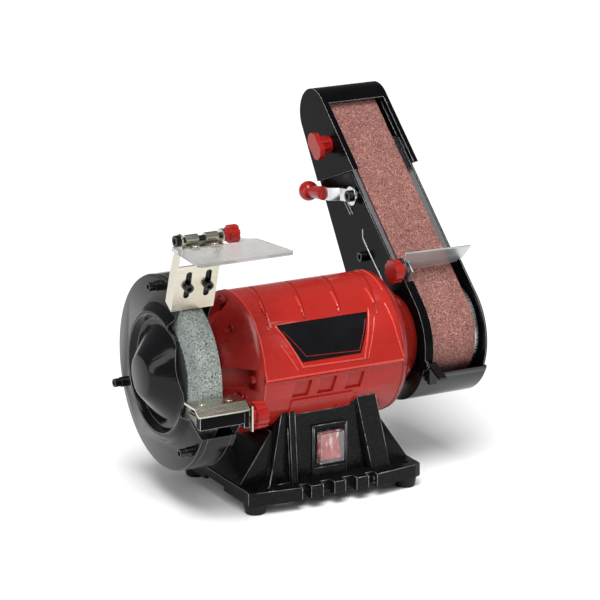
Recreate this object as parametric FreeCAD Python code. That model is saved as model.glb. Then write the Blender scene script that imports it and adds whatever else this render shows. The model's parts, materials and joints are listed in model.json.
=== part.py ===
import FreeCAD, Part
import os
from math import atan2, cos, hypot, pi, radians, sin, sqrt, tan

from FreeCAD import Placement, Rotation, Vector

# Bench grinder with a pivoting belt arm.  Millimetres, +Z up, the motor axis runs along X,
# the user stands at -Y, and the origin is on the bench in the middle of the four feet.

# ---- driving dimensions ----------------------------------------------------------------
AXIS_Z = 122.5            # height of the motor axis above the bench
SHEET = 1.5               # steel sheet used for the arm and the brackets

FOOT_X = 76.5             # half spacing of the feet and bench holes
FOOT_Y = 58.0
FOOT_R = 10.5
FOOT_H = 10.0
BENCH_HOLE_R = 3.25

TRAY_X = 87.0             # half length of the base
TRAY_Y = 72.0             # half depth of the base
TRAY_TOP = 22.0
WALL = 4.0                # casting wall

HOUSING_R = 64.0          # red motor housing
HOUSING_HALF = 70.0
HOUSING_WALL = 3.5
LOUVRE = 2.3              # depth of the slanting recesses
STATOR_HALF = 36.0
ROTOR_R = 30.0
AIR_GAP = 0.6

SHAFT_R = 7.5             # at the bearings
SHAFT_THREAD_R = 6.35     # 12.7 mm wheel bore
BEARING_R = 17.5
BEARING_W = 11.0
RUN_FIT = 0.05            # radial clearance of running fits

WHEEL_R = 75.0            # 150 x 20 grinding wheel
WHEEL_X0 = -136.0
WHEEL_X1 = -116.0

GUARD_R = 87.5
GUARD_X0 = -138.2         # outer face of the guard cover
GUARD_X1 = -105.0         # back of the guard
GUARD_SHEET = 1.2
GUARD_SEAM = -132.2          # where the pressed face of the guard meets its band
GUARD_BOLT_R = 79.5
GUARD_BOLT_ANGLES = (91.0, 201.0, -45.0)
WINDOW_LOW = -27.0        # opening of the guard, in degrees above the horizontal, facing the user
WINDOW_HIGH = 63.0
WINDOW_CHORD = 39.0       # distance of the opening's inner edge from the axis

ARM_TILT = 42.0           # lean of the belt above the horizontal, at rest
BELT_X0 = 108.0           # 50 mm belt
BELT_X1 = 158.0
BELT_T = 1.2
DRUM_BELT_R = 43.0        # outside of the belt on the drive drum
IDLER_BELT_R = 20.0       # outside of the belt on the idler
IDLER_S = 234.0           # idler distance from the motor axis, along the belt
IDLER_N = DRUM_BELT_R - IDLER_BELT_R
ROLLER_GAP = 0.4          # belt to roller
ARM_X0 = 101.0            # left plate, outer face
ARM_X1 = 166.5            # right plate, outer face
HOUSE_C = (1.0, -6.0)     # centre of the round bottom of the arm
HOUSE_R = 57.0
TOP_C = (233.0, 24.0)     # centre of the round top of the arm
TOP_R = 25.5
COVER_GAP = 0.3
PLATE_FRONT = 42.0        # front edge of the arm plates along the belt
COVER_SPLIT = 97.0        # height of the joint between the arm and its lower cover, at rest
HOOD_FRONT_S = 146.0      # lower end of the hood, at its front and back edges
HOOD_BACK_S = 183.0
LEVER_S, LEVER_N = 134.0, 33.0     # tension lever pivot
GRIP_X = 89.3                      # middle of the lever's grip
KNOB_S, KNOB_N = 195.0, 29.5       # tracking screw
BOLT_S, BOLT_N = 84.0, 6.0         # platen bolt
REST_S, REST_N = 36.0, 53.0        # clamp of the belt rest
PIN_N = 17.0                       # tension pin and its slot
CARRIAGE_N0, CARRIAGE_N1 = 11.0, 25.0
YOKE_S = 190.0
TILT_PIN_S = 194.5                 # pin that the idler's yoke rocks on, square to the belt
LATCH_Y, LATCH_Z = -53.0, 107.0    # pivot of the cover's toggle latch

BRACKET_X0 = -147.3       # spark guard bracket
BRACKET_X1 = -106.4
BRACKET_FOOT = (-37.5, 67.2)   # its lower edge, y and height above the motor axis
BRACKET_LEAN = 18.0       # lean towards the user, degrees
BRACKET_H = 45.0
SLOT_SPACING = 19.0
HINGE_T = 69.5            # eye shield rod, up the bracket and behind it
HINGE_Q = 3.0

REST_TOP = 120.0          # top of the tool rest
SWITCH_Z = 49.0
PANEL_Y = -53.0           # sunk panel around the switch
PANEL_X0 = -35.5          # its left edge
RIB = 5.5                 # narrow rib beside it


# ---- small helpers ----------------------------------------------------------------------
def box(x0, x1, y0, y1, z0, z1):
    return Part.makeBox(x1 - x0, y1 - y0, z1 - z0, Vector(x0, y0, z0))


def cyl(r, start, direction, length):
    return Part.makeCylinder(r, length, Vector(*start), Vector(*direction))


def cyl_x(x0, x1, r, y=0.0, z=AXIS_Z):
    return cyl(r, (x0, y, z), (1, 0, 0), x1 - x0)


def tube_x(x0, x1, r_out, r_in, y=0.0, z=AXIS_Z):
    return cyl_x(x0, x1, r_out, y, z).cut(cyl_x(x0 - 1, x1 + 1, r_in, y, z))


def cyl_z(x, y, z0, z1, r):
    return cyl(r, (x, y, z0), (0, 0, 1), z1 - z0)


def prism(points, direction):
    """Solid made by pushing a closed outline of points along a direction."""
    wire = Part.makePolygon([Vector(*p) for p in points] + [Vector(*points[0])])
    return Part.Face(wire).extrude(Vector(*direction))


def prism_x(points_yz, x0, x1):
    return prism([(x0, y, z) for y, z in points_yz], (x1 - x0, 0, 0))


def prism_y(points_xz, y0, y1):
    return prism([(x, y0, z) for x, z in points_xz], (0, y1 - y0, 0))


def prism_z(points_xy, z0, z1):
    return prism([(x, y, z0) for x, y in points_xy], (0, 0, z1 - z0))


def turned(points_xr, z=AXIS_Z):
    """Solid turned about the motor axis from an outline of (x, radius) points."""
    wire = Part.makePolygon([Vector(x, r, z) for x, r in points_xr + points_xr[:1]])
    return Part.Face(wire).revolve(Vector(0, 0, z), Vector(1, 0, 0), 360)


def hexagon_x(x0, x1, across_flats, y=0.0, z=AXIS_Z):
    r = across_flats / 2 / cos(radians(30))
    corners = [(y + r * cos(radians(a)), z + r * sin(radians(a))) for a in range(0, 360, 60)]
    return prism_x(corners, x0, x1)


def fuse(shapes):
    result = shapes[0].multiFuse(shapes[1:]) if len(shapes) > 1 else shapes[0]
    return result.removeSplitter()


def cut(shape, tools):
    return shape.cut(tools)


def mirror_x(shape):
    return shape.mirror(Vector(0, 0, 0), Vector(1, 0, 0))


def mirror_about_x(shape, x):
    return shape.mirror(Vector(x, 0, 0), Vector(1, 0, 0))


def on_arm(shape):
    """Place a piece drawn in arm axes: x, s up the belt, n out of the belt."""
    placed = shape.copy()
    tilted = Placement(Vector(0, 0, AXIS_Z), Rotation(Vector(1, 0, 0), ARM_TILT))
    placed.Placement = tilted * shape.Placement
    return placed


def on_bracket(shape):
    """Place a piece drawn in bracket axes: x, q backwards from the plate, t up the plate."""
    placed = shape.copy()
    lift = Vector(0, BRACKET_FOOT[0], AXIS_Z + BRACKET_FOOT[1])
    placed.Placement = Placement(lift, Rotation(Vector(1, 0, 0), BRACKET_LEAN)) * shape.Placement
    return placed


def belt_shape(c1, r1, c2, r2, x0, x1):
    """Solid with the outline of a belt round two circles, in arm axes (z stands for n)."""
    (s1, n1), (s2, n2) = c1, c2
    d = hypot(s2 - s1, n2 - n1)
    heading = atan2(n2 - n1, s2 - s1)
    swing = atan2(sqrt(d * d - (r1 - r2) ** 2), r1 - r2)
    corners = []
    for (s, n), r, side in ((c1, r1, 1), (c2, r2, 1), (c2, r2, -1), (c1, r1, -1)):
        a = heading + side * swing
        corners.append((s + r * cos(a), n + r * sin(a)))
    rounds = [cyl_x(x0, x1, r, s, n) for (s, n), r in ((c1, r1), (c2, r2))]
    return fuse([prism_x(corners, x0, x1)] + rounds)


def knob_x(x0, x1, r, grip_r, lobes, y, z):
    """Fluted knob along X: a hub at x1, lobes at x0."""
    neck = x1 - (x1 - x0) * 0.35
    body = cyl_x(x0, neck, r - 1.2, y, z)
    flutes = []
    for i in range(lobes):
        a = 2 * pi * i / lobes
        flutes.append(cyl_x(x0 - 1, neck + 1, r * 0.13, y + r * cos(a), z + r * sin(a)))
    return fuse([cut(cyl_x(x0, neck, r, y, z), flutes), body, cyl_x(neck, x1, grip_r, y, z)])


def socket_screw(start, direction, head_r, head_l, shank_r, shank_l):
    """Socket head screw: the head grows backwards from the start, the shank forwards."""
    d = Vector(*direction).normalize()
    p = Vector(*start)
    head = Part.makeCylinder(head_r, head_l, p - d * head_l, d)
    socket = Part.makeCylinder(head_r * 0.5, head_l * 0.6, p - d * head_l, d)
    shank = Part.makeCylinder(shank_r, shank_l + 0.5, p - d * 0.5, d)
    return fuse([head.cut(socket), shank])


def compound(solids):
    return Part.makeCompound([s for shape in solids for s in shape.Solids])


# ---- base -------------------------------------------------------------------------------
def pedestal(inset=0.0):
    """Tapered box under the motor, cradling the housing."""
    top_x, foot_x, top_y, foot_y = 46.0 - inset, 61.0 - inset, 55.5 - inset, 63.0 - inset
    top_z = 92.0 - inset
    low = Part.makePolygon([Vector(x, y, 8) for x, y in
                            ((-foot_x, -foot_y), (foot_x, -foot_y), (foot_x, foot_y),
                             (-foot_x, foot_y), (-foot_x, -foot_y))])
    high = Part.makePolygon([Vector(x, y, top_z) for x, y in
                             ((-top_x, -top_y), (top_x, -top_y), (top_x, top_y),
                              (-top_x, top_y), (-top_x, -top_y))])
    return Part.makeLoft([low, high], True, True)


def wings(inset=0.0):
    """Sloping shoulders from the pedestal down to the ends of the tray."""
    reach = TRAY_X - 2 - inset
    outline = [(-reach, 10), (reach, 10), (reach, TRAY_TOP + 1 - inset),
               (54 - inset, 68 - inset), (-54 + inset, 68 - inset), (-reach, TRAY_TOP + 1 - inset)]
    return prism_y(outline, -46 + inset, 46 - inset)


def tray(inset=0.0):
    """Low tray with bowed front and back edges."""
    x, y = TRAY_X - inset, TRAY_Y - inset
    half = [(-x, -y + 6), (-x + 6, -y + 3), (-38, -y - 3), (38, -y - 3), (x - 6, -y + 3), (x, -y + 6)]
    outline = half + [(px, -py) for px, py in reversed(half)]
    return prism_z(outline, 10, TRAY_TOP - inset)


def front_recess():
    """Sunk panel on the pedestal's front, with one slanting cheek on the right."""
    ends = []
    for y, top_x, foot_x in ((PANEL_Y, 25, 35), (PANEL_Y - 17, 37, 45)):
        corners = [(PANEL_X0, TRAY_TOP), (foot_x, TRAY_TOP), (top_x, 95), (PANEL_X0, 95)]
        ends.append(Part.makePolygon([Vector(x, y, z) for x, z in corners + corners[:1]]))
    return Part.makeLoft(ends, True, True)


def base_casting():
    outside = fuse([tray(), pedestal(), wings()])
    hollow = [tray(WALL), pedestal(WALL), wings(WALL)]
    cradle = tube_x(-58, 58, HOUSING_R + 5, HOUSING_R).common(pedestal())
    body = fuse([cut(outside, hollow), cradle])
    corner_posts = [cyl_z(x, y, 10, TRAY_TOP, 8) for x, y in foot_places()]
    cover_posts = [cyl_z(x, y, 13, 36, 5) for x, y in cover_screw_places()]
    panel = box(-60, 47, PANEL_Y, PANEL_Y + WALL, 12, 90).common(pedestal())
    body = fuse([body, panel] + corner_posts + cover_posts)
    left_recess = box(-80, PANEL_X0 - RIB, -80, PANEL_Y, TRAY_TOP, 95)
    body = cut(body, [front_recess(), left_recess])
    lip_backing = box(-38, 38, -71, PANEL_Y + WALL, 10, TRAY_TOP)
    column = box(-17.2, 17.2, PANEL_Y - 2.8, PANEL_Y, TRAY_TOP, SWITCH_Z + 21)
    column = cut(column, [box(-15.8, 15.8, -60, PANEL_Y, SWITCH_Z - 18.8, SWITCH_Z + 18.8)])
    body = fuse([body, lip_backing, column])
    notches = [box(x0, x1, -80, -67, 9, TRAY_TOP + 1) for x0, x1 in
               ((-38, -29), (-17, -5.5), (5.5, 17), (29, 38))]
    side_reliefs = [box(sx * 88 - 6, sx * 88 + 6, -18, 18, 9, 14) for sx in (-1, 1)]
    saddle = cyl_x(-100, 100, HOUSING_R)
    apron_room = housing_apron(0.2)
    wire_hole = cyl_z(0, 0, 40, 80, 8)
    switch_hole = box(-13.2, 13.2, -60, -40, SWITCH_Z - 15.2, SWITCH_Z + 15.2)
    gland_hole = cyl(8.05, (30, 40, 40), (0, 1, 0), 40)
    bench_holes = [cyl_z(x, y, 0, 40, BENCH_HOLE_R) for x, y in foot_places()]
    cover_holes = [cyl_z(x, y, 12, 30, 1.6) for x, y in cover_screw_places()]
    seat_bores = [cyl_z(x, y, 40, 80, 2.6) for x, y in seat_screw_places()]
    tools = notches + side_reliefs + [saddle, apron_room, wire_hole, switch_hole, gland_hole]
    return cut(body, tools + bench_holes + cover_holes + seat_bores)


def foot_places():
    return [(sx * FOOT_X, sy * FOOT_Y) for sx in (-1, 1) for sy in (-1, 1)]


def cover_screw_places():
    return [(sx * 54, sy * 44) for sx in (-1, 1) for sy in (-1, 1)]


def seat_screw_places():
    return [(sx * 30, sy * 24) for sx in (-1, 1) for sy in (-1, 1)]


def base_plate():
    plate = box(-78, 78, -48, 48, 11.5, 13)
    corners = [cyl_z(x, y, 5, 20, 13) for x, y in foot_places()]
    holes = [cyl_z(x, y, 5, 20, 1.6) for x, y in cover_screw_places()]
    vents = [box(x - 12, x + 12, -30, -27, 5, 20) for x in (-30, 0, 30)]
    return cut(plate, corners + holes + vents)


def base_screws():
    """Small screws of the bottom plate, and the larger ones that seat the motor."""
    small = [socket_screw((x, y, 11.5), (0, 0, 1), 3.2, 1.4, 1.6, 14) for x, y in cover_screw_places()]
    large = [socket_screw((x, y, seat_z(y) - 7.0), (0, 0, 1), 4.2, 4.0, 2.5, 9.0)
             for x, y in seat_screw_places()]
    return compound(small + large)


def rubber_feet():
    feet = []
    for x, y in foot_places():
        cone = Part.makeCone(FOOT_R - 1.8, FOOT_R, FOOT_H, Vector(x, y, 0))
        feet.append(cone.cut(cyl_z(x, y, -1, FOOT_H + 1, BENCH_HOLE_R)))
    return compound(feet)


def switch_bezel():
    frame = box(-15.5, 15.5, -54.8, -53, SWITCH_Z - 18.5, SWITCH_Z + 18.5)
    sleeve = box(-13.2, 13.2, -54, -44, SWITCH_Z - 15.2, SWITCH_Z + 15.2)
    hollow = box(-11.6, 11.6, -60, -45.5, SWITCH_Z - 13.6, SWITCH_Z + 13.6)
    return cut(fuse([frame, sleeve]), [hollow])


def switch_boot():
    """Clear dust cover over the rocker."""
    shell = box(-12.4, 12.4, -60.5, -54.8, SWITCH_Z - 14.4, SWITCH_Z + 14.4)
    hollow = box(-11.4, 11.4, -59.5, -54, SWITCH_Z - 13.4, SWITCH_Z + 13.4)
    return shell.cut(hollow)


def switch_rocker():
    """Rocker with two sloping halves, pivoted on a pin along X."""
    z = SWITCH_Z
    outline = [(-48.2, z - 12), (-57.2, z - 12), (-54.6, z), (-55.4, z + 12), (-48.2, z + 12)]
    rocker = prism_x(outline, -10.6, 10.6)
    pin = cyl_x(-11.5, 11.5, 1.4, -49.5, z)
    return fuse([rocker, pin])


def switch_body():
    """Contact block behind the rocker."""
    return box(-13.0, 13.0, -43.9, -36, SWITCH_Z - 14, SWITCH_Z + 10)


def cable_gland():
    collar = cyl(10, (30, 63.0, 40), (0, 1, 0), 5)
    barrel = cyl(8.0, (30, 52, 40), (0, 1, 0), 14)
    return cut(fuse([collar, barrel]), [cyl(3.6, (30, 45, 40), (0, 1, 0), 40)])


def capacitor():
    return cyl(14, (-52, 20, 38), (1, 0, 0), 55)


def terminal_block():
    body = box(10, 46, -6, 8, 30, 42)
    ways = [box(13 + 8 * i, 18 + 8 * i, -7, 9, 38, 43) for i in range(4)]
    return cut(body, ways)


def seat_z(y):
    """Height of the housing's underside at a distance y from its middle."""
    return AXIS_Z - sqrt(HOUSING_R ** 2 - y ** 2)


# ---- motor ------------------------------------------------------------------------------
def housing_apron(grown=0.0):
    """Raised pad low on the housing's front, over the switch panel."""
    low, high = AXIS_Z - 39.5 - grown, AXIS_Z - 24
    outline = [(-40, low), (-70, low), (-70, high), (-40, high)]
    return tube_x(-41 - grown, 21 + grown, HOUSING_R + 2 + grown, HOUSING_R - 1).common(
        prism_x(outline, -50, 50))


def housing_outside():
    """Round housing with a moulded ridge along the front and the back."""
    body = cyl_x(-HOUSING_HALF, HOUSING_HALF, HOUSING_R)
    ridges = []
    for side in (-1, 1):
        outline = [(side * 58, AXIS_Z + 22), (side * 66.8, AXIS_Z + 1), (side * 66.8, AXIS_Z - 1),
                   (side * 62, AXIS_Z - 5), (side * 58, AXIS_Z - 5)]
        ridges.append(prism_x(outline, -HOUSING_HALF, HOUSING_HALF))
    return fuse([body, housing_apron()] + ridges)


def motor_housing():
    shell = cut(housing_outside(), [cyl_x(-80, 80, HOUSING_R - HOUSING_WALL)])
    grooves = []
    for x in (-47, -10, 26, 62):
        groove = tube_x(-1.2, 1.2, HOUSING_R + 1, HOUSING_R - 1, 0, 0)
        groove = groove.common(box(-5, 5, -80, 30, 40, 80))
        groove.rotate(Vector(0, 0, 0), Vector(0, 0, 1), -12)
        groove.translate(Vector(x, 0, AXIS_Z))
        grooves.append(groove)
    recess = prism_y([(-49.5, AXIS_Z + 43), (42.5, AXIS_Z + 43), (27.5, AXIS_Z + 10.5),
                      (-31.5, AXIS_Z + 10.5)], -80, 0)
    recess = recess.common(tube_x(-60, 60, 80, HOUSING_R - 1.5))
    louvres = []
    for x in (-38, -13, 15):
        pocket = prism_y([(x, AXIS_Z - 6), (x + 16, AXIS_Z - 6), (x + 13, AXIS_Z - 21),
                          (x - 3, AXIS_Z - 21)], -80, 0)
        louvres.append(pocket.common(tube_x(-60, 60, 80, HOUSING_R - LOUVRE)))
    wire_hole = cyl_z(0, 0, 40, 80, 8)
    screws = [cyl_z(x, y, 40, 90, 2.6) for x, y in seat_screw_places()]
    return cut(shell, grooves + [recess, wire_hole] + louvres + screws)


def label_plate():
    """Plain black plate in the housing's recess."""
    plate = prism_y([(-49, AXIS_Z + 42.5), (42, AXIS_Z + 42.5), (27.2, AXIS_Z + 11), (-31.2, AXIS_Z + 11)],
                    -80, 0)
    return plate.common(tube_x(-60, 60, HOUSING_R - 0.5, HOUSING_R - 1.5))


def bell_skin():
    """Outside of a bell, as (x, radius), from the housing to the end."""
    return [(-HOUSING_HALF, HOUSING_R + 0.5), (-74, HOUSING_R - 0.5), (-79, 58), (-90, 45.5), (-98, 40)]


def bell_cavity():
    """Inside of a bell, from the bearing seat back to the housing."""
    return [(-88, 22), (-93, 26), (-93, 37), (-86, 42.5), (-76, 54), (-73, 60), (-HOUSING_HALF, 60)]


def bell_screw_angles():
    return (54, 126, 198, 270, 342)


def bell_screw_holes():
    """Screw holes of a bell with pockets for the heads."""
    holes = []
    for a in bell_screw_angles():
        y, z = 50 * cos(radians(a)), AXIS_Z + 50 * sin(radians(a))
        holes += [cyl_x(-110, -69, 1.6, y, z), cyl_x(-110, -82, 3.7, y, z)]
    return holes


def bell_bosses():
    """Screw bosses that carry the bell on the stator pack."""
    bosses = []
    for a in bell_screw_angles():
        y, z = 50 * cos(radians(a)), AXIS_Z + 50 * sin(radians(a))
        bosses.append(cyl_x(-82, -71, 5.5, y, z))
    return bosses


def left_bell():
    nose = [(-98, 31), (-104, 31), (-104, 15), (-99, 15), (-99, BEARING_R), (-99 + BEARING_W, BEARING_R)]
    bell = fuse([turned(bell_skin() + nose + bell_cavity())] + bell_bosses())
    plate_holes = [cyl_x(-110, -98.2, 1.6, y, z) for y, z in disc_screw_places()]
    return cut(bell, bell_screw_holes() + plate_holes)


def right_bell():
    """Like the left bell, mirrored, with the turned nose that the belt arm swings on."""
    nose = [(-100.6, 37), (-100.6, 21.7), (-106, 21.7), (-106, 15), (-90, 15), (-90, BEARING_R),
            (-90 + BEARING_W, BEARING_R)]
    bell = fuse([turned(bell_skin() + nose + bell_cavity()[1:])] + bell_bosses())
    return mirror_x(cut(bell, bell_screw_holes()))


def bell_screws():
    """Screws of both bells, and the four that hold the guard's back disc."""
    screws = []
    for a in bell_screw_angles():
        y, z = 50 * cos(radians(a)), AXIS_Z + 50 * sin(radians(a))
        screw = socket_screw((-82, y, z), (1, 0, 0), 3.4, 3.0, 1.6, 12)
        screws += [screw, mirror_x(screw)]
    for y, z in disc_screw_places():
        screws.append(socket_screw((GUARD_X1 - GUARD_SHEET, y, z), (1, 0, 0), 3.0, 2.2, 1.55, 7.5))
    return compound(screws)


def disc_screw_places():
    return [(26 * cos(radians(a)), AXIS_Z + 26 * sin(radians(a))) for a in (45, 135, 225, 315)]


def stator_core():
    core = tube_x(-STATOR_HALF, STATOR_HALF, HOUSING_R - HOUSING_WALL, ROTOR_R + AIR_GAP)
    slots = []
    for i in range(12):
        slot = box(-40, 40, -3.2, 3.2, ROTOR_R - 2, 48)
        slot.rotate(Vector(0, 0, 0), Vector(1, 0, 0), 30 * i)
        slot.translate(Vector(0, 0, AXIS_Z))
        slots.append(slot)
    return cut(core, slots)


def stator_windings():
    """End turns of the coils, one ring at each end of the pack."""
    half = [(STATOR_HALF, 33), (STATOR_HALF, 52), (50, 54), (56, 50), (58, 42), (55, 35), (48, 33)]
    right = turned(half)
    return compound([mirror_x(right), right])


def bearings():
    return compound([bearing(-99, -88), bearing(79, 90)])


def bearing(x0, x1):
    ring = tube_x(x0, x1, BEARING_R, SHAFT_R + RUN_FIT)
    groove = tube_x(x0 - 1, x0 + 0.6, 14.2, 10.8)
    other = tube_x(x1 - 0.6, x1 + 1, 14.2, 10.8)
    return cut(ring, [groove, other])


# ---- rotor ------------------------------------------------------------------------------
def shaft():
    steps = [(-152, -111.5, SHAFT_THREAD_R), (-111.5, -86.5, SHAFT_R), (-86.5, 78, 9.5),
             (78, 107.5, SHAFT_R), (107.5, 159.5, 7.0)]
    return fuse([cyl_x(x0, x1, r) for x0, x1, r in steps])


def rotor_core():
    core = tube_x(-38, 38, ROTOR_R, 9.5)
    rings = [tube_x(x0, x0 + 7, ROTOR_R - 4, 16) for x0 in (-45, 38)]
    return fuse([core] + rings)


def grinding_wheel():
    wheel = tube_x(WHEEL_X0, WHEEL_X1, WHEEL_R, SHAFT_THREAD_R)
    edges = [e for e in wheel.Edges if e.Curve.TypeId == "Part::GeomCircle" and e.Curve.Radius > 70]
    return wheel.makeFillet(1.0, edges)


def wheel_flanges():
    """Dished washers that clamp the wheel."""
    inner = turned([(-111.5, SHAFT_THREAD_R), (-111.5, 16), (-114, 25), (-116, 25), (-116, SHAFT_THREAD_R)])
    outer = turned([(-136, SHAFT_THREAD_R), (-136, 24), (-138, 24), (-141, 14), (-141, SHAFT_THREAD_R)])
    return compound([inner, outer])


def shaft_nuts():
    """Nut of the wheel and nut of the drive drum."""
    wheel_nut = cut(hexagon_x(-150, -141, 19), [cyl_x(-160, -130, SHAFT_THREAD_R)])
    drum_nut = cut(hexagon_x(150, 158, 19), [cyl_x(140, 165, 7.0)])
    return compound([wheel_nut, drum_nut])


def drive_drum():
    """Drum that pulls the belt, with a web and a hub inside its rim."""
    drum = cyl_x(BELT_X0 - 0.5, BELT_X1 + 4.5, DRUM_BELT_R - BELT_T - ROLLER_GAP)
    pockets = [tube_x(100, BELT_X0 + 18, 36, 14), tube_x(BELT_X1 - 18, 170, 36, 14)]
    seat = cyl_x(150, 170, 12)
    return cut(drum, pockets + [cyl_x(100, 170, 7.0), seat])


# ---- wheel guard ------------------------------------------------------------------------
def window_tool(x0, x1):
    """Wedge that opens the guard towards the user."""
    a = radians((WINDOW_HIGH + WINDOW_LOW) / 2)
    half = radians((WINDOW_HIGH - WINDOW_LOW) / 2)
    near, far = WINDOW_CHORD * tan(half), 120 * tan(half)
    corners = []
    for reach, side in ((WINDOW_CHORD, -near), (WINDOW_CHORD, near), (120, far), (120, -far)):
        corners.append((-reach * cos(a) + side * sin(a), AXIS_Z + reach * sin(a) + side * cos(a)))
    return prism_x(corners, x0, x1)


def guard_bolt_places():
    return [(-GUARD_BOLT_R * cos(radians(a)), AXIS_Z + GUARD_BOLT_R * sin(radians(a)))
            for a in GUARD_BOLT_ANGLES]


def guard_dish(x, r):
    """Solid dish with a domed hub, a ring bead and a drum wall; its open side is at -111."""
    return turned([(-111, 0), (x - 20.8, 0), (x - 20.8, 17), (x - 19.8, 19.5), (x - 2.5, 41), (x - 0.6, 44),
                   (x - 0.6, 48.5), (x - 4.5, 51), (x - 6.4, 53), (x - 6.6, 55), (x - 5.4, 57.5),
                   (x - 1.2, 61.5), (x, 63.5), (x, r - 2), (x + 0.6, r - 0.6), (x + 2, r), (-111, r)])


def guard_cover():
    """Pressed face of the guard and the band behind it, with a tab for the spark guard."""
    cover = guard_dish(GUARD_X0, GUARD_R).cut(guard_dish(GUARD_X0 + 1.5, GUARD_R - GUARD_SHEET))
    cover = cut(cover, [window_tool(-170, -100)])
    reach = on_bracket(box(GUARD_X0, -109.5, COVER_GAP, COVER_GAP + SHEET, 9.5, 37))
    cover = fuse([cover, reach])
    holes = [cyl_x(-160, -130, 2.3, y, z) for y, z in guard_bolt_places()]
    holes += [on_bracket(cyl(2.1, (sx, -10, 24), (0, 1, 0), 30)) for sx in bracket_screw_x()]
    cover = cut(cover, holes)
    face = cover.common(cyl_x(-170, GUARD_SEAM, 120))
    band = cover.common(cyl_x(GUARD_SEAM + 0.05, -100, 120))
    return compound([face, band])


def guard_backplate():
    """Back disc screwed to the bell, with a rim facing the cover."""
    disc = tube_x(GUARD_X1 - GUARD_SHEET, GUARD_X1, GUARD_R, 20)
    rim = tube_x(-109.9, GUARD_X1, GUARD_R, GUARD_R - GUARD_SHEET)
    boss = tube_x(GUARD_X1, -104, 31, 20)
    plate = cut(fuse([disc, rim, boss]), [window_tool(-170, -100)])
    bolt_holes = [cyl_x(-112, -100, 2.2, y, z) for y, z in guard_bolt_places()]
    bell_holes = [cyl_x(-112, -100, 1.6, y, z) for y, z in disc_screw_places()]
    return cut(plate, bolt_holes + bell_holes)


def guard_screws():
    """Three long screws that draw the cover onto the back disc, with sleeves outside."""
    screws = []
    for y, z in guard_bolt_places():
        head = cyl_x(GUARD_X0 - 11.5, GUARD_X0 - 4, 3.9, y, z)
        head = head.cut(cyl_x(GUARD_X0 - 12, GUARD_X0 - 8, 2.2, y, z))
        neck = cyl_x(GUARD_X0 - 5, GUARD_X0, 4.6, y, z)
        shank = cyl_x(GUARD_X0 - 1, -101.5, 2.15, y, z)
        nut = hexagon_x(-105, -101.8, 7, y, z)
        screws.append(fuse([head, neck, shank, nut]))
    return compound(screws)


# ---- spark guard and eye shield ----------------------------------------------------------
def bracket_screw_x():
    middle = (BRACKET_X0 + BRACKET_X1) / 2 + 1.5
    return (middle - SLOT_SPACING / 2, middle + SLOT_SPACING / 2)


def spark_bracket():
    """Slotted plate close to the wheel, with two arms up to the eye shield's rod."""
    x0, x1, t = BRACKET_X0, BRACKET_X1, SHEET
    plate = box(x0, x1, -t, 0, 0, BRACKET_H)
    left = prism_x([(-t, 0), (11, 3), (11, 34), (9, 52), (HINGE_Q + 6, HINGE_T), (HINGE_Q - 6, HINGE_T),
                    (-1, 56), (-t, 45)], x0, x0 + t)
    right = prism_x([(-t, 24), (8, 28), (8, 50), (HINGE_Q + 6, HINGE_T), (HINGE_Q - 6, HINGE_T),
                     (-1, 56), (-t, 45)], x1 - t, x1)
    ears = [cyl_x(x, x + t, 6, HINGE_Q, HINGE_T) for x in (x0, x1 - t)]
    body = fuse([plate, left, right] + ears)
    slots = []
    for sx in bracket_screw_x():
        slots += [cyl(2.75, (sx, -5, 15), (0, 1, 0), 10), cyl(2.75, (sx, -5, 36), (0, 1, 0), 10),
                  box(sx - 2.75, sx + 2.75, -5, 5, 15, 36)]
    rod_holes = [cyl_x(x0 - 2, x1 + 2, 2.55, HINGE_Q, HINGE_T)]
    return on_bracket(cut(body, slots + rod_holes))


def bracket_screws():
    """Two socket screws and nuts in the guard's tab."""
    screws = []
    for sx in bracket_screw_x():
        head = cyl(4.2, (sx, -SHEET - 4.5, 24), (0, 1, 0), 4.2)
        head = head.cut(cyl(2.1, (sx, -SHEET - 5, 24), (0, 1, 0), 3))
        shank = cyl(2.05, (sx, -SHEET - 0.4, 24), (0, 1, 0), 8)
        nut = cyl(4.2, (sx, COVER_GAP + SHEET, 24), (0, 1, 0), 3.5)
        screws.append(on_bracket(fuse([head, shank, nut])))
    return compound(screws)


def hinge_place():
    """Position of the eye shield's rod, y and z."""
    a = radians(BRACKET_LEAN)
    y = BRACKET_FOOT[0] + HINGE_Q * cos(a) - HINGE_T * sin(a)
    z = AXIS_Z + BRACKET_FOOT[1] + HINGE_Q * sin(a) + HINGE_T * cos(a)
    return y, z


def shield_rod():
    y, z = hinge_place()
    rod = cyl_x(BRACKET_X0 - 1, BRACKET_X1 + 9, 2.5, y, z)
    head = cyl_x(BRACKET_X0 - 4.5, BRACKET_X0 - 0.1, 5, y, z)
    return fuse([rod, head.cut(cyl_x(BRACKET_X0 - 6, BRACKET_X0 - 2.5, 2.4, y, z))])


def shield_clip():
    """Rolled steel clip that grips the clear sheet and turns on the rod."""
    y, z = hinge_place()
    x0, x1 = BRACKET_X0 + 5, BRACKET_X1 - 5
    strap = box(x0, x1, y - 13, y + 5.4, z - 5.4, z - 4.0)
    rolls = [tube_x(a, b, 4.4, 2.57, y, z) for a, b in ((x0, x0 + 12), (x1 - 12, x1))]
    rivet_holes = [cyl_z(x, y - 9, 0, z, 2.0) for x in (-136, -118)]
    return cut(fuse([strap] + rolls), [cyl_x(x0 - 1, x1 + 1, 2.57, y, z)] + rivet_holes)


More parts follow.
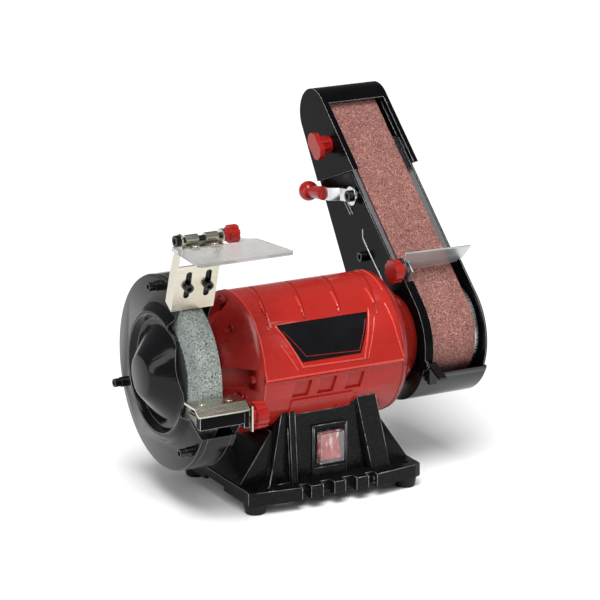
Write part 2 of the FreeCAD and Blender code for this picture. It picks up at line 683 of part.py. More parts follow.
def eye_shield():
    """Clear sheet, slotted for the bracket's arms and notched for the clamp knob."""
    y, z = hinge_place()
    outline = [(-153.5, y + 2), (-139, y + 9), (-104, y + 9), (-75.5, y - 6), (-67.5, y - 56),
               (-70, y - 59), (-155, y - 59), (-158, y - 56)]
    sheet = prism_z(outline, z - 8.4, z - 5.4)
    arm_slots = [box(x - 1.1, x + SHEET + 1.1, y - 8, y + 20, 200, 280)
                 for x in (BRACKET_X0, BRACKET_X1 - SHEET)]
    knob_notch = box(BRACKET_X1, BRACKET_X1 + 15, y - 9.5, y + 20, 200, 280)
    rivet_holes = [cyl_z(x, y - 9, z - 20, z + 20, 2.0) for x in (-136, -118)]
    return cut(sheet, arm_slots + [knob_notch] + rivet_holes)


def clip_rivets():
    y, z = hinge_place()
    rivets = []
    for x in (-136, -118):
        rivets.append(fuse([cyl_z(x, y - 9, z - 9.4, z - 8.4, 3.4), cyl_z(x, y - 9, z - 9, z - 3.9, 2.0),
                            cyl_z(x, y - 9, z - 4.0, z - 3.0, 3.4)]))
    return compound(rivets)


def shield_knob():
    y, z = hinge_place()
    knob = knob_x(BRACKET_X1 + 1, BRACKET_X1 + 14, 8.0, 5.6, 8, y, z)
    knob = mirror_about_x(knob, BRACKET_X1 + 7.5)
    return cut(knob, [cyl_x(BRACKET_X1, BRACKET_X1 + 9.3, 2.57, y, z)])


# ---- tool rest ---------------------------------------------------------------------------
def rest_bracket():
    """Slotted plate from the guard's back disc out beside the tool rest."""
    outline = [(-107.5, 94), (-107.5, 117), (-84, 117), (-73, 99), (-62, 94), (-50, 84), (-50, 70),
               (-66, 74), (-86, 94)]
    plate = prism_x(outline, GUARD_X1, GUARD_X1 + SHEET)
    slot = [box(-110, -100, -102, -88, 101.2, 106.8)]
    slot += [cyl_x(-110, -100, 2.8, y, 104) for y in (-102, -88)]
    holes = [cyl_x(-110, -100, 2.2, y, z) for y, z in guard_bolt_places()]
    return cut(plate, slot + holes)


def rest_arm():
    """Angle iron under the tool rest."""
    leg = box(GUARD_X1 - 5.1, GUARD_X1 - 0.1, -103, -84, 97, 112.4)
    bar = box(-153, GUARD_X1 - 5.1, -104.5, -97, 101.5, 112.4)
    shelf = box(-153, GUARD_X1 - 5.1, -97, -84, 111, 114)
    riser = [box(x, x + 8, -94, -86, 114, 118) for x in (-148, -122)]
    return cut(fuse([leg, bar, shelf] + riser), [cyl_x(-115, -100, 2.55, -94, 104)])


def rest_plate():
    """Folded plate that the work lies on, with a front lip."""
    outline = [(-78, 118), (-78, 120), (-98, 120), (-106.5, 114.2), (-105.4, 112.6), (-97.4, 118)]
    plate = prism_x(outline, -155, GUARD_X1 - 1)
    rivets = [cyl_z(x, -90, 119, 120.6, 3.0) for x in (-144, -118)]
    return fuse([plate] + rivets)


def rest_knob():
    knob = mirror_about_x(knob_x(GUARD_X1 + 2.2, GUARD_X1 + 18, 12.0, 7.5, 12, -94, 104), GUARD_X1 + 10.1)
    stud = cyl_x(GUARD_X1 - 5.0, GUARD_X1 + 6, 2.5, -94, 104)
    return fuse([knob, stud])


# ---- belt arm ----------------------------------------------------------------------------
def arm_outline(shrink, x0, x1):
    """Outline of the whole arm: round bottom, tapering back, round top."""
    return belt_shape(HOUSE_C, HOUSE_R - shrink, TOP_C, TOP_R - shrink, x0, x1)


def world_cut_box(x0, x1, y0, y1, z0, z1):
    """A box in world axes, expressed in arm axes, for cuts that are level at rest."""
    tool = box(x0, x1, y0, y1, z0 - AXIS_Z, z1 - AXIS_Z)
    tool.rotate(Vector(0, 0, 0), Vector(1, 0, 0), -ARM_TILT)
    return tool


def split_tool(x0, x1):
    """Space below the level joint between the arm and its lower cover."""
    return world_cut_box(x0, x1, -200, 200, 0, COVER_SPLIT)


def hood_zone(shrink=0.0):
    """Everything up the arm from the hood's slanting lower edge."""
    a, b = HOOD_FRONT_S + shrink, HOOD_BACK_S + shrink
    slope = (b - a) / (60.0 + 12.0)
    return prism_x([(a, 60), (a + slope * 90, -30), (300, -30), (300, 80), (a, 80)], 90, 180)


def belt_opening(x0, x1):
    """Space in front of the plates along the belt, and down to the lower lip."""
    return prism_x([(58, 80), (58, PLATE_FRONT), (HOOD_FRONT_S + 40, PLATE_FRONT), (HOOD_FRONT_S + 40, 80)],
                   x0, x1)


def side_plate(x0, x1):
    """Side plate of the arm, full size below and narrowed where the hood covers it."""
    slab = arm_outline(1.8, x0, x1)
    lip_slope = prism_x([(36, 80), (40, 49), (58, PLATE_FRONT), (58, 80)], x0 - 1, x1 + 1)
    return cut(slab, [belt_opening(x0 - 1, x1 + 1), lip_slope, split_tool(x0 - 1, x1 + 1),
                      box(x0 - 1, x1 + 1, HOOD_FRONT_S + 39, 300, 40, 80)])


def arm_left_plate():
    """Left side plate, with the bore that turns on the bell's nose."""
    x0, x1 = ARM_X0, ARM_X0 + SHEET
    plate = side_plate(x0, x1)
    ear = prism_x([(28, 40), (30, 59), (46, 59), (54, 40)], x0, x1)
    lip = arm_outline(1.8, x1, x1 + 7).cut(arm_outline(1.8 + SHEET, x1 - 1, x1 + 9))
    lip = cut(lip.common(box(90, 180, -80, 26, 0, 80)), [split_tool(90, 180)])
    plate = fuse([plate, ear, lip])
    tools = [cyl_x(90, 110, 21.75, 0, 0)]
    tools += [cyl_x(90, 110, r, s, n) for r, s, n in ((2.6, LEVER_S, LEVER_N), (3.1, KNOB_S, KNOB_N),
                                                      (2.05, REST_S, REST_N), (1.7, BOLT_S, BOLT_N))]
    tools += [box(90, 110, 130, 152, PIN_N - 1.8, PIN_N + 1.8)]
    tools += [cyl_x(90, 110, 1.8, s, PIN_N) for s in (130, 152)]
    latch_ear = prism_x([(-44, LATCH_Z - 7), (-44, LATCH_Z + 5), (LATCH_Y, LATCH_Z + 4),
                         (LATCH_Y - 3, LATCH_Z), (LATCH_Y, LATCH_Z - 4)], x0, x1)
    plate = fuse([on_arm(cut(plate, tools)), latch_ear])
    return cut(plate, [cyl_x(90, 110, 1.25, LATCH_Y, LATCH_Z)])


def hood_screw_places():
    return [(184.0, 4.0), (214.0, 12.0)]


def arm_right_plate():
    x0, x1 = ARM_X1 - SHEET, ARM_X1
    tools = [cyl_x(160, 180, 1.7, s, n) for s, n in hood_screw_places()]
    tools += [cyl_x(160, 180, 1.7, s, n) for s, n in ((70, 20), (130, 20))]
    return on_arm(cut(side_plate(x0, x1), tools))


def arm_back():
    """Back wall that joins the two side plates."""
    x0, x1 = ARM_X0 + SHEET, ARM_X1 - SHEET
    shell = arm_outline(1.8, x0, x1).cut(arm_outline(1.8 + SHEET, x0 - 1, x1 + 1))
    front = prism_x([(-60, 2), (300, 36), (300, 90), (-60, 90)], x0 - 1, x1 + 1)
    wall = on_arm(cut(shell, [front, split_tool(90, 180), box(90, 180, 205, 300, -80, 80)]))
    return fuse([wall, cover_hinge()])


def upper_hood():
    """Hood over the idler, with lips in front of the belt's edges and a cap over the top."""
    x0, x1 = ARM_X0 - 1.8, ARM_X1 + 1.8
    outside = arm_outline(0, x0, x1)
    inside = arm_outline(SHEET, x0 + SHEET, x1 - SHEET)
    shell = outside.cut(inside).common(hood_zone())
    window = box(ARM_X0 + 4, ARM_X1 - 3, 100, 228, 40, 90)
    tools = [window]
    tools += [cyl_x(160, 180, 1.7, s, n) for s, n in hood_screw_places()]
    tools += [cyl_x(90, 110, 3.2, KNOB_S, KNOB_N)]
    return on_arm(cut(shell, tools))


def lower_cover():
    """Cup under the drive drum that swings down for belt changes."""
    x0, x1 = ARM_X0 - 1.8, ARM_X1 + 1.8
    shell = arm_outline(0, x0, x1).cut(arm_outline(SHEET, x0 + SHEET, x1 - SHEET))
    shell = shell.common(world_cut_box(90, 180, -200, 200, 0, COVER_SPLIT - COVER_GAP))
    shell = cut(shell, [box(90, 180, 40, 400, -200, 200)])
    placed = on_arm(shell)
    nose = cyl_x(95, ARM_X0 - 0.2, 39)
    hinge_y, hinge_z = cover_hinge_place()
    knuckles = [tube_x(a, b, 3.4, 1.7, hinge_y, hinge_z) for a, b in ((112, 122), (146, 156))]
    leaf = [box(a, b, hinge_y - 4.5, hinge_y - 2.2, hinge_z - 6, hinge_z - 0.8)
            for a, b in ((112, 122), (146, 156))]
    catch = box(ARM_X0 + SHEET + 0.3, ARM_X0 + SHEET + 8, LATCH_Y, -44, LATCH_Z - 15.1, LATCH_Z - 12)
    return cut(fuse([placed, catch] + leaf + knuckles), [nose, cyl_x(110, 158, 1.7, hinge_y, hinge_z)])


def cover_hinge_place():
    """Hinge of the lower cover, at the back of the level joint."""
    return 62.5, COVER_SPLIT + 2.0


def cover_hinge():
    """Fixed knuckle and pin on the arm's back wall."""
    y, z = cover_hinge_place()
    knuckle = tube_x(122.4, 145.6, 3.4, 1.65, y, z)
    leaf = box(122.4, 145.6, y - 6.2, y - 2.2, z + 0.5, z + 8)
    pin = cyl_x(111, 157, 1.65, y, z)
    return fuse([knuckle, leaf, pin])


def cover_latch():
    """Toggle that hooks the lower cover to the left plate, with a handle towards the user."""
    x0, x1 = ARM_X0 + SHEET + 0.3, ARM_X0 + SHEET + 8
    handle = prism_x([(LATCH_Y + 1, LATCH_Z + 3), (LATCH_Y - 20, LATCH_Z - 6),
                      (LATCH_Y - 19, LATCH_Z - 8.4), (LATCH_Y + 1, LATCH_Z)], x0, x1)
    hook = prism_x([(LATCH_Y - 2, LATCH_Z), (LATCH_Y - 2.6, LATCH_Z - 17),
                    (LATCH_Y + 2, LATCH_Z - 17), (LATCH_Y + 2, LATCH_Z - 15.4),
                    (LATCH_Y - 0.6, LATCH_Z - 15.4), (LATCH_Y, LATCH_Z)], x0, x1)
    barrel = cyl_x(x0, x1, 2.6, LATCH_Y, LATCH_Z)
    pin = cyl_x(ARM_X0 - 0.8, x0 + 1, 1.2, LATCH_Y, LATCH_Z)
    return fuse([handle, hook, barrel, pin])


def platen():
    """Steel plate that backs the belt."""
    face = box(ARM_X0 + SHEET, ARM_X1 - SHEET, 52, 188, 38.8, 41.0)
    rib = box(ARM_X0 + SHEET, ARM_X0 + 2 * SHEET, 60, 87, 0, 38.8)
    foot = box(ARM_X1 - 2 * SHEET, ARM_X1 - SHEET, 62, 138, 14, 38.8)
    tools = [cyl_x(90, 110, 1.7, BOLT_S, BOLT_N)]
    tools += [cyl_x(160, 180, 1.7, s, n) for s, n in ((70, 20), (130, 20))]
    return on_arm(cut(fuse([face, rib, foot]), tools))


def sanding_belt():
    loop = belt_shape((0, 0), DRUM_BELT_R, (IDLER_S, IDLER_N), IDLER_BELT_R, BELT_X0, BELT_X1)
    inner = belt_shape((0, 0), DRUM_BELT_R - BELT_T, (IDLER_S, IDLER_N), IDLER_BELT_R - BELT_T,
                       BELT_X0 - 1, BELT_X1 + 1)
    return on_arm(loop.cut(inner))


def pivot_ring():
    """Ring pressed on the bell's nose that keeps the arm on it."""
    return tube_x(ARM_X0 + SHEET + 0.3, 106, 30, 21.7)


def arm_screws():
    """Screws and bolts in the arm's plates, all heads outwards."""
    screws = []
    for s, n in hood_screw_places():
        screws.append(socket_screw((ARM_X1 + 1.8, s, n), (-1, 0, 0), 3.2, 1.8, 1.65, 5))
    for s, n in ((70, 20), (130, 20)):
        screws.append(socket_screw((ARM_X1, s, n), (-1, 0, 0), 2.8, 1.4, 1.65, 5))
    bolt = socket_screw((ARM_X0, BOLT_S, BOLT_N), (1, 0, 0), 4.6, 7.0, 1.65, 5)
    return compound([on_arm(s) for s in screws + [bolt, lever_bolt()]])


def slide_guide():
    """Channel on the left plate that the tension carriage runs in."""
    x0 = ARM_X0 + SHEET
    block = box(x0, 140, 112, 172, CARRIAGE_N0 - 5, CARRIAGE_N1 + 5)
    way = box(x0 + 6, 136, 100, 180, CARRIAGE_N0 - 0.3, CARRIAGE_N1 + 0.3)
    slot = box(90, 112, 126, 156, PIN_N - 2.2, PIN_N + 2.2)
    pivot = cyl_x(90, 107, 2.5, LEVER_S, LEVER_N)
    return on_arm(fuse([cut(block, [way, slot, pivot]), spring_seat()]))


def tension_carriage():
    """Bar that slides up the arm and carries the yoke, with its tension pin and spring seat."""
    x0 = ARM_X0 + SHEET + 6.3
    bar = box(x0, 135.7, 118, YOKE_S - 0.3, CARRIAGE_N0, CARRIAGE_N1)
    pin = cyl_x(97.8, x0 + 1, 1.5, 146, PIN_N)
    spindle = cyl(4.0, (122, 84, 18), (0, 1, 0), 35)
    ears = [box(127, 139, 182, TILT_PIN_S + 4.5, a, a + 1.8) for a in (8.0, 26.2)]
    riser = box(127, 135.7, 182, YOKE_S - 0.3, 8.0, 28.0)
    tilt_pin = cyl_z(133, TILT_PIN_S, 8.0, 28.0, 2.0)
    return on_arm(fuse([bar, pin, spindle, riser, tilt_pin] + ears))


def tension_spring():
    """Coil on the carriage's spindle; the carriage's travel closes it against its seat."""
    helix = Part.makeHelix(4.0, 18, 6.0)
    section = Part.Wire([Part.Circle(Vector(6.0, 0, 0), Vector(0, 1, 0), 0.9).toShape()])
    coil = Part.Wire(helix.Edges).makePipeShell([section], True, True)
    coil.rotate(Vector(0, 0, 0), Vector(1, 0, 0), -90)
    coil.translate(Vector(122, 98, 18))
    return on_arm(coil)


def spring_seat():
    """Bracket on the left plate that the spring pushes against."""
    x0 = ARM_X0 + SHEET
    seat = box(x0, 130, 87.5, 90.2, 11, 25)
    foot = box(x0, x0 + SHEET, 90.2, 112, 11, 25)
    return cut(fuse([seat, foot]), [cyl(4.3, (122, 70, 18), (0, 1, 0), 50)])


def idler_yoke():
    """Fork that holds the idler's axle and rocks on the carriage to track the belt."""
    x0, x1 = 104.9, 161.1
    cross = box(x0, x1, YOKE_S, YOKE_S + 3, 10, 26)
    tip_s, low, high = IDLER_S + 7, IDLER_N - 7, IDLER_N + 7
    arms = [prism_x([(YOKE_S, 10), (YOKE_S, 32), (YOKE_S + 12, 32), (tip_s, high), (tip_s, low),
                     (YOKE_S + 12, 10)], a, a + 2.4) for a in (x0, x1 - 2.4)]
    axle = cyl_x(103.9, 162.1, 5.0, IDLER_S, IDLER_N)
    clips = [cyl_x(a, a + 1, 7, IDLER_S, IDLER_N) for a in (103.9, 161.1)]
    hub = box(127, 139, YOKE_S, TILT_PIN_S + 4, 10, 26)
    yoke = fuse([cross, hub, axle] + arms + clips)
    return on_arm(cut(yoke, [cyl_z(133, TILT_PIN_S, 0, 40, 2.0 + RUN_FIT)]))


def idler_roller():
    r = IDLER_BELT_R - BELT_T - ROLLER_GAP
    tube = turned([(BELT_X0 + 0.6, 14), (BELT_X0 + 0.6, r - 0.4), (BELT_X0 + 12, r), (BELT_X1 - 12, r),
                   (BELT_X1 - 0.6, r - 0.4), (BELT_X1 - 0.6, 14)], 0)
    tube.translate(Vector(0, IDLER_S, IDLER_N))
    return on_arm(tube)


def idler_bearings():
    rings = [tube_x(a, a + 8, 14, 5.0 + RUN_FIT, IDLER_S, IDLER_N) for a in (BELT_X0 + 0.6, BELT_X1 - 8.6)]
    return compound([on_arm(r) for r in rings])


def lever_direction():
    """Unit vector along the lever at rest, in arm axes (s, n)."""
    a = radians(-50.0)
    return cos(a), sin(a)


def along_lever(x, reach):
    """Point in arm axes at a distance from the lever's pivot."""
    c, d = lever_direction()
    return x, LEVER_S + c * reach, LEVER_N + d * reach


def lever_strip(outline, half):
    """Bar drawn as (reach, x) points, with a width across the lever."""
    c, d = lever_direction()
    corners = [along_lever(x, reach) for reach, x in outline]
    corners = [(x, s + d * half, n - c * half) for x, s, n in corners]
    return prism(corners, (0, -2 * d * half, 2 * c * half))


def lever_tongue():
    """Narrow end of the lever, inside the grip."""
    return lever_strip([(30, GRIP_X - 1), (60, GRIP_X - 1), (60, GRIP_X + 1), (30, GRIP_X + 1)], 3.5)


def tension_lever():
    """Flat steel lever, stepped outwards to clear the hood."""
    hub_x = ARM_X0 - 5.6
    bar = lever_strip([(0, hub_x), (20, hub_x), (30, GRIP_X - 1), (40, GRIP_X - 1), (40, GRIP_X + 1),
                       (31, GRIP_X + 1), (21, hub_x + 2), (0, hub_x + 2)], 6)
    hub = cyl_x(hub_x, hub_x + 2, 9, LEVER_S, LEVER_N)
    boss = cyl_x(hub_x, ARM_X0 - 0.4, 5.5, LEVER_S, LEVER_N)
    return on_arm(cut(fuse([bar, lever_tongue(), hub, boss]), [cyl_x(90, 110, 2.57, LEVER_S, LEVER_N)]))


def lever_grip():
    """Red sleeve with a ball end."""
    c, d = lever_direction()
    neck = Part.makeCone(6.6, 5.6, 22, Vector(*along_lever(GRIP_X, 40)), Vector(0, c, d))
    ball = Part.makeSphere(9.4, Vector(*along_lever(GRIP_X, 70)))
    collar = cyl(5.4, along_lever(GRIP_X, 60), (0, c, d), 6)
    return on_arm(cut(fuse([neck, ball, collar]), [lever_tongue()]))


def lever_bolt():
    head = cyl_x(ARM_X0 - 9.4, ARM_X0 - 5.9, 5.4, LEVER_S, LEVER_N)
    head = head.cut(cyl_x(ARM_X0 - 10, ARM_X0 - 7.4, 2.6, LEVER_S, LEVER_N))
    shank = cyl_x(ARM_X0 - 6.2, 107, 2.5, LEVER_S, LEVER_N)
    return fuse([head, shank])


def tracking_knob():
    """Wing knob on the tracking screw, whose tip bears on the yoke."""
    hub = cyl_x(87, ARM_X0 - 2.3, 8.2, KNOB_S, KNOB_N)
    ribs = []
    for i in range(10):
        a = radians(36 * i)
        ribs.append(cyl_x(87, 95.5, 0.9, KNOB_S + 8.2 * cos(a), KNOB_N + 8.2 * sin(a)))
    wing = prism_x([(KNOB_S - 13.5, KNOB_N + 3), (KNOB_S - 9, KNOB_N + 8), (KNOB_S + 9, KNOB_N + 8),
                    (KNOB_S + 13.5, KNOB_N + 3), (KNOB_S + 13.5, KNOB_N - 3), (KNOB_S + 9, KNOB_N - 8),
                    (KNOB_S - 9, KNOB_N - 8), (KNOB_S - 13.5, KNOB_N - 3)], 83, 88.5)
    screw = cyl_x(97, 104.5, 3.0, KNOB_S, KNOB_N)
    return on_arm(fuse([hub, wing, screw] + ribs))


def belt_rest():
    """Work rest across the belt: a flared plate and a slotted flange beside the arm's ear."""
    x0, right = ARM_X0 + SHEET + 4.1, ARM_X1 + 0.5
    outline = [(x0, 45.5), (right - 3.5, 45.5), (right - 3.5, 50), (right, 50), (right + 1.5, 70),
               (ARM_X0 - 2, 72.5), (ARM_X0 - 1, 69), (x0, 52)]
    plate = prism([(x, 41, n) for x, n in outline], (0, SHEET, 0))
    flange = prism_x([(30, 44.5), (42, 44.5), (42, 58), (30, 58)], x0, x0 + SHEET)
    way = [cyl_x(100, 120, 2.1, REST_S, n) for n in (47.2, REST_N)]
    way += [box(100, 120, REST_S - 2.1, REST_S + 2.1, 47.2, REST_N)]
    return on_arm(cut(fuse([plate, flange]), way))


def belt_rest_knob():
    """Clamping knob for the belt rest, with its stud through the ear and the slot."""
    knob = knob_x(ARM_X0 - 12.5, ARM_X0 - 0.4, 11.0, 6.5, 8, REST_S, REST_N)
    stud = cyl_x(ARM_X0 - 4, ARM_X0 + SHEET + 3.8, 2.0, REST_S, REST_N)
    return on_arm(fuse([knob, stud]))


PIECES = [
    base_casting, base_plate, base_screws, rubber_feet, switch_bezel, switch_body, switch_boot,
    switch_rocker, cable_gland, capacitor, terminal_block, motor_housing, label_plate, left_bell,
    right_bell, bell_screws, stator_core, stator_windings, bearings, shaft, rotor_core, grinding_wheel,
    wheel_flanges, shaft_nuts, drive_drum, guard_cover, guard_backplate, guard_screws, spark_bracket,
    bracket_screws, shield_rod, shield_clip, clip_rivets, eye_shield, shield_knob, rest_bracket,
    rest_arm, rest_plate, rest_knob, pivot_ring, arm_left_plate, arm_right_plate, arm_back, upper_hood,
    lower_cover, cover_latch, platen, sanding_belt, arm_screws, slide_guide, tension_carriage,
    tension_spring, idler_yoke, idler_roller, idler_bearings, tension_lever, lever_grip, tracking_knob,
    belt_rest, belt_rest_knob,
]

os.makedirs("parts", exist_ok=True)
for make in PIECES:
    shape = make()
    print(f"{make.__name__:20s} {len(shape.Solids)} solids, {shape.Volume:.1f} mm3, valid {shape.isValid()}")
    shape.exportStep(f"parts/{make.__name__}.step")
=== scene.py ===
import json
import math

import bmesh
import bpy
from mathutils import Matrix, Vector
from mathutils.bvhtree import BVHTree


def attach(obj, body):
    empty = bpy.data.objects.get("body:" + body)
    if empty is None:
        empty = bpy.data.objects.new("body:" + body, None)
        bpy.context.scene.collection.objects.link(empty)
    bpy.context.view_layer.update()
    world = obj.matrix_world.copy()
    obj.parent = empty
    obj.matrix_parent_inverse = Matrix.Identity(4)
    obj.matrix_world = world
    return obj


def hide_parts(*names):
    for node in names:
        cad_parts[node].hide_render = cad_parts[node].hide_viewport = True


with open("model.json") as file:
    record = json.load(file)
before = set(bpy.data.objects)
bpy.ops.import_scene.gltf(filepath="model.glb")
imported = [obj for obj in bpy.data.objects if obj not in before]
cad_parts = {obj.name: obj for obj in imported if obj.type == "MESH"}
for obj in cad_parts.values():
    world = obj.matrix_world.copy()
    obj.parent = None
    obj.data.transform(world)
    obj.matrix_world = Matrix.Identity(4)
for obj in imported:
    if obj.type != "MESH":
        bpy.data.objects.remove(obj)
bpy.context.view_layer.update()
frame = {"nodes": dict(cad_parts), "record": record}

NODES = frame["nodes"]
RECORD = frame["record"]
BODY = {n: b for b, ns in RECORD["behaviour"]["bodies"].items() for n in ns}
SLOT = {s["node"]: s["material_slot"] for s in RECORD["subparts"]}
MM = 0.001
AXIS_Z = 0.1225                  # height of the motor's axis, m
ARM_TILT = math.radians(42)      # the arm's slope at rest
# Painted shade: the wheel's side face is darkened inside this radius, standing in for the guard's
# shade.
WHEEL_PAINTED_SHADE = 0.0505              # radius of the dark disc on the wheel's side, m


# ---- materials ---------------------------------------------------------------------------
MATERIALS = {}


class Mat:
    """A Principled material, listed in MATERIALS, with small helpers for procedural nodes."""

    def __init__(self, name, **sockets):
        self.mat = bpy.data.materials.new(name)
        MATERIALS[name] = self.mat
        self.mat.use_nodes = True
        self.tree = self.mat.node_tree
        self.bsdf = self.tree.nodes["Principled BSDF"]
        for key, value in sockets.items():
            self.bsdf.inputs[key.replace("_", " ")].default_value = value
        self.coord = self.tree.nodes.new("ShaderNodeTexCoord").outputs["Object"]

    def link(self, a, b):
        self.tree.links.new(a, b)

    def mapped(self, scale):
        node = self.tree.nodes.new("ShaderNodeMapping")
        node.inputs["Scale"].default_value = scale
        self.link(self.coord, node.inputs["Vector"])
        return node.outputs["Vector"]

    def noise(self, scale, detail=4.0, rough=0.5, vector=None):
        node = self.tree.nodes.new("ShaderNodeTexNoise")
        node.inputs["Scale"].default_value = scale
        node.inputs["Detail"].default_value = detail
        node.inputs["Roughness"].default_value = rough
        self.link(vector or self.coord, node.inputs["Vector"])
        return node.outputs["Fac"]

    def cells(self, scale):
        node = self.tree.nodes.new("ShaderNodeTexVoronoi")
        node.inputs["Scale"].default_value = scale
        self.link(self.coord, node.inputs["Vector"])
        return node

    def vector_math(self, operation, vector, constant=None):
        node = self.tree.nodes.new("ShaderNodeVectorMath")
        node.operation = operation
        self.link(vector, node.inputs[0])
        if constant is not None:
            node.inputs[1].default_value = constant
        return node.outputs["Value" if operation == "LENGTH" else "Vector"]

    def ramp(self, fac, stops):
        """Colour ramp; a stop's colour is a triple or one grey value."""
        node = self.tree.nodes.new("ShaderNodeValToRGB")
        ramp = node.color_ramp.elements
        while len(ramp) < len(stops):
            ramp.new(0.5)
        for element, (place, colour) in zip(ramp, stops):
            element.position = place
            if isinstance(colour, (int, float)):
                colour = (colour, colour, colour)
            element.color = (*colour, 1)
        self.link(fac, node.inputs["Fac"])
        return node.outputs["Color"]

    def mix(self, fac, a, b, blend="MIX"):
        node = self.tree.nodes.new("ShaderNodeMix")
        node.data_type = "RGBA"
        node.blend_type = blend
        for value, socket in ((fac, node.inputs[0]), (a, node.inputs[6]), (b, node.inputs[7])):
            if isinstance(value, bpy.types.NodeSocket):
                self.link(value, socket)
            elif isinstance(value, tuple):
                socket.default_value = (*value, 1)
            else:
                socket.default_value = value
        return node.outputs[2]

    def colour(self, socket):
        self.link(socket, self.bsdf.inputs["Base Color"])

    def rough(self, socket):
        self.link(socket, self.bsdf.inputs["Roughness"])

    def bump(self, height, strength, distance):
        node = self.tree.nodes.new("ShaderNodeBump")
        node.inputs["Strength"].default_value = strength
        node.inputs["Distance"].default_value = distance
        self.link(height, node.inputs["Height"])
        self.link(node.outputs["Normal"], self.bsdf.inputs["Normal"])


def scaled(colour, k):
    return tuple(c * k for c in colour)


def paint(name, colour, rough, grain, depth, coat=0.0, specular=0.5, spread=0.25, painted_glint=None):
    """Paint with a fine grain; spread is the drift of its tone, and the last argument, if given,
    the colour of pale specks painted into the tone as sparkle highlights.
    """
    m = Mat(name, Metallic=0.0, Coat_Weight=coat, Coat_Roughness=0.08, Specular_IOR_Level=specular)
    tone = m.ramp(m.noise(14, 3), [(0.3, scaled(colour, 1 - spread)),
                                   (0.7, scaled(colour, 1 + spread))])
    if painted_glint is not None:
        # Painted highlight: pale specks mixed into the colour stand in for sparkle on the surface.
        tone = m.mix(m.ramp(m.noise(1500, 2, 0.7), [(0.58, 0.0), (0.72, 1.0)]), tone, painted_glint)
    m.colour(tone)
    m.rough(m.ramp(m.noise(45, 5), [(0.3, rough * 0.8), (0.7, min(1, rough * 1.25))]))
    m.bump(m.noise(grain, 3), 0.5, depth)


def metal(name, colour, rough, stretch=(4, 220, 220), depth=0.00002, stain=None, metallic=1.0):
    """Brushed or plated metal with streaks along X."""
    m = Mat(name, Metallic=metallic)
    streak = m.noise(6, 6, 0.6, m.mapped(stretch))
    tone = m.ramp(streak, [(0.25, scaled(colour, 0.82)), (0.75, scaled(colour, 1.08))])
    if stain is not None:
        tone = m.mix(m.ramp(m.noise(24, 5), [(0.45, 0.0), (0.75, 1.0)]), tone, stain)
    m.colour(tone)
    m.rough(m.ramp(streak, [(0.3, rough * 0.75), (0.7, min(1, rough * 1.3))]))
    m.bump(streak, 0.35, depth)


def plastic(name, colour, rough, specular, coat=0.0, glow=0.0):
    m = Mat(name, Metallic=0.0, Coat_Weight=coat, Coat_Roughness=0.1, Subsurface_Weight=glow,
            Subsurface_Scale=0.004, Specular_IOR_Level=specular)
    m.colour(m.ramp(m.noise(30, 3), [(0.3, scaled(colour, 0.86)), (0.7, scaled(colour, 1.1))]))
    m.rough(m.ramp(m.noise(70, 4), [(0.3, rough * 0.8), (0.7, min(1, rough * 1.3))]))
    m.bump(m.noise(1200, 2), 0.4, 0.00002)


def abrasive(name, dark, base, light, scale, depth, rough, painted_shade_radius=None):
    """Bonded grit in three tones; if given a radius, also painted shade: a darker ragged disc of
    that radius round the axis on the wheel's sides, standing in for the shade the guard casts
    there.
    """
    m = Mat(name, Metallic=0.0)
    cells = m.cells(scale)
    grit = m.ramp(cells.outputs["Color"], [(0.15, dark), (0.45, base), (0.7, base), (0.95, light)])
    cloud = m.ramp(m.noise(scale * 0.06, 4), [(0.3, 0.82), (0.7, 1.06)])
    tone = m.mix(1.0, grit, cloud, "MULTIPLY")
    if painted_shade_radius is not None:
        offset = m.vector_math("SUBTRACT", m.coord, (0, 0, AXIS_Z))
        radius = m.vector_math("LENGTH", m.vector_math("MULTIPLY", offset, (0, 1, 1)))
        ragged = m.tree.nodes.new("ShaderNodeMath")
        ragged.operation = "MULTIPLY_ADD"
        m.link(m.noise(420, 4), ragged.inputs[0])
        ragged.inputs[1].default_value = 0.007
        m.link(radius, ragged.inputs[2])
        reach = m.tree.nodes.new("ShaderNodeMapRange")
        reach.inputs["From Min"].default_value = painted_shade_radius
        reach.inputs["From Max"].default_value = painted_shade_radius + 0.0015
        m.link(ragged.outputs["Value"], reach.inputs["Value"])
        # Painted shade: inside the disc the grit gives way to a darker tone.
        tone = m.mix(reach.outputs["Result"], scaled(dark, 0.4), tone)
    m.colour(tone)
    m.rough(m.ramp(cells.outputs["Distance"],
                   [(0.0, rough * 0.8), (0.6, min(1.0, rough * 1.05))]))
    m.bump(cells.outputs["Distance"], 0.7, depth)


def clear(name, tint, through, rough):
    m = Mat(name, Metallic=0.0, Transmission_Weight=through, IOR=1.49)
    m.colour(m.ramp(m.noise(20, 3), [(0.3, scaled(tint, 0.95)), (0.7, tint)]))
    m.rough(m.ramp(m.noise(120, 5), [(0.4, rough), (0.8, rough + 0.07)]))
    m.bump(m.noise(60, 3), 0.05, 0.00002)


def red_with_painted_highlight_streaks(name):
    """Translucent red with pale streaks painted into its colour as highlights, standing in for
    light caught in the boot over the rocker.
    """
    m = Mat(name, Metallic=0.0, Subsurface_Weight=0.3, Subsurface_Scale=0.004, Coat_Weight=0.6,
            Coat_Roughness=0.05)
    streak = m.noise(3.2, 3, 0.55, m.mapped((70, 70, 28)))
    m.colour(m.ramp(streak, [(0.40, (0.50, 0.012, 0.012)), (0.54, (0.75, 0.06, 0.05)),
                             (0.64, (0.95, 0.66, 0.62))]))
    m.rough(m.ramp(streak, [(0.3, 0.12), (0.7, 0.3)]))
    m.bump(streak, 0.5, 0.0004)


